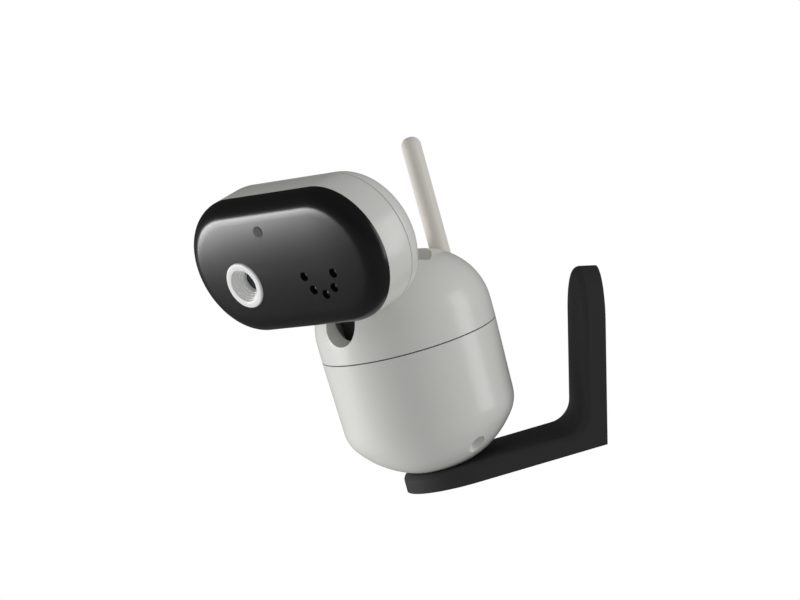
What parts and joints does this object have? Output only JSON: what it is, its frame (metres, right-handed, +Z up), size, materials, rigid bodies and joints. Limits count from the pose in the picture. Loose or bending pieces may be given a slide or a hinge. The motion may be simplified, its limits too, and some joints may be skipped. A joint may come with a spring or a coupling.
{
  "type": "baby monitor camera",
  "caption": "Pan and tilt baby monitor camera with a pill-shaped head, domed body and folding antenna, standing in the dish of an L-shaped wall bracket.",
  "frame": {"origin": "midpoint between the two wall screws, on the bracket's wall face", "axes": "+Z up, +Y into the wall, bracket width along X, arm towards -Y"},
  "size_m": [0.1091, 0.1616, 0.1419],
  "materials": {
    "bracket_plastic": "satin black",
    "magnet": "nickel plated",
    "rubber": "matt",
    "casing": "glossy warm white",
    "antenna_plastic": "satin ivory",
    "ring_plastic": "glossy white",
    "bezel": "piano black",
    "window": "dark infrared window",
    "led_lens": "dark clear",
    "glass": "coated lens",
    "dark_parts": "matt black",
    "board": "solder mask",
    "chip": "moulded",
    "steel": "plain",
    "capacitor": "sleeved",
    "frame_plastic": "moulded",
    "gear_plastic": "acetal"
  },
  "bodies": {
    "bracket": {"bracket_shell": "bracket_plastic", "screw_caps": "bracket_plastic", "arm_cover": "bracket_plastic", "bracket_magnet": "magnet", "dish_pad": "rubber"},
    "base": {"base_shell": "casing", "seat_disc": "steel", "main_board": "board", "board_screws": "steel", "power_socket": "dark_parts", "shield_can": "steel", "board_capacitors": "capacitor", "pair_switch": "dark_parts", "base_deck": "frame_plastic", "deck_screws": "steel", "thrust_washer": "gear_plastic", "pan_motor": "steel", "speaker": "dark_parts"},
    "pair_button": {"pair_button": "casing"},
    "pan_pinion": {"pan_pinion": "gear_plastic"},
    "upper": {"upper_shell": "casing", "turntable": "frame_plastic", "turntable_screws": "steel", "pan_gear": "gear_plastic", "tilt_cradle": "frame_plastic", "cradle_screws": "steel", "axle_bushes": "gear_plastic", "tilt_motor": "steel", "slot_baffle": "dark_parts", "antenna_yoke": "casing", "antenna_pin": "steel"},
    "tilt_pinion": {"tilt_pinion": "gear_plastic"},
    "antenna": {"antenna": "antenna_plastic"},
    "head": {"head_shell": "casing", "head_back_cover": "casing", "front_bezel": "bezel", "lens_ring": "ring_plastic", "lens_barrel": "dark_parts", "lens_glass": "glass", "camera_board": "board", "image_sensor": "chip", "ir_leds": "led_lens", "sensor_window": "window", "light_sensor": "chip", "microphone": "dark_parts", "head_screws": "steel", "head_neck": "casing", "sector_gear": "gear_plastic", "tilt_axle": "steel"}
  },
  "joints": [
    {"name": "dish_swivel", "type": "hinge", "parent": "bracket", "child": "base", "pos_m": [0, -0.06389, -0.0473], "axis": [0, -0.2419, 0.9703], "continuous": true},
    {"name": "pan", "type": "hinge", "parent": "base", "child": "upper", "pos_m": [0, -0.07671, 0.00412], "axis": [0, -0.2419, 0.9703], "range_deg": [-274, 75]},
    {"name": "pan_pinion_spin", "type": "hinge", "parent": "base", "child": "pan_pinion", "pos_m": [0.01, -0.09231, -0.00492], "axis": [0, -0.2419, 0.9703], "range_deg": [-304, 1100]},
    {"name": "pair_button_press", "type": "slide", "parent": "base", "child": "pair_button", "axis": [0.5, -0.8403, -0.2095], "range_m": [0, 0.0009], "stiffness_N_per_m": 500},
    {"name": "head_tilt", "type": "hinge", "parent": "upper", "child": "head", "pos_m": [0.00509, -0.08488, 0.01136], "axis": [0.7716, 0.6172, 0.1539], "range_deg": [-40, 6]},
    {"name": "tilt_pinion_spin", "type": "hinge", "parent": "upper", "child": "tilt_pinion", "pos_m": [0.00359, -0.07674, 0.02524], "axis": [0.7716, 0.6172, 0.1539], "range_deg": [-28, 162]},
    {"name": "antenna_fold", "type": "hinge", "parent": "upper", "child": "antenna", "pos_m": [-0.01908, -0.0574, 0.02234], "axis": [-0.7716, -0.6172, -0.1539], "range_deg": [0, 80]}
  ],
  "couplings": [
    {"joint": "pan_pinion_spin", "follows": "pan", "ratio": -4},
    {"joint": "tilt_pinion_spin", "follows": "head_tilt", "ratio": -4}
  ]
}
